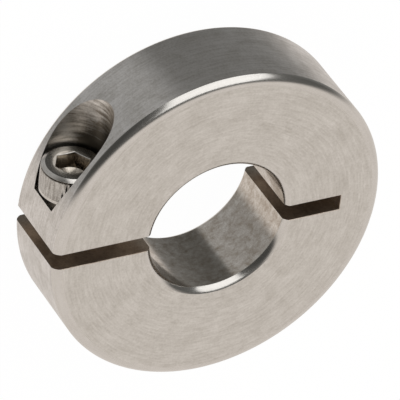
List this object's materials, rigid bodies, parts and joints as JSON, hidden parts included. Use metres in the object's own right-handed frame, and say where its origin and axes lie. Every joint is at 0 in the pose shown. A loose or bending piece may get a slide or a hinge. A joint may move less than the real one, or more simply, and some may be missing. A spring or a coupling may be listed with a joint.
{
  "type": "one-piece shaft collar",
  "caption": "Slit clamping ring that grips a plain shaft, drawn tight by a socket head cap screw set in a counterbore beside the slit.",
  "frame": {"origin": "on the bore axis, in the plane of the back face that the collar lies on", "axes": "+Z along the bore axis towards the front face, clamping slit at -X, clamp screw along +Y out of its head"},
  "size_m": [0.027, 0.027, 0.0071],
  "materials": {
    "collar_steel": "satin, fine turned",
    "screw_steel": "satin, knurled head"
  },
  "bodies": {
    "collar": {"collar_body": "collar_steel"},
    "screw": {"clamp_screw": "screw_steel"}
  },
  "joints": [
    {"name": "screw_turn", "type": "hinge", "parent": "collar", "child": "screw", "pos_m": [-0.0109, 0, 0.00357], "axis": [0, 1, 0], "range_deg": [-270, 1440]}
  ]
}
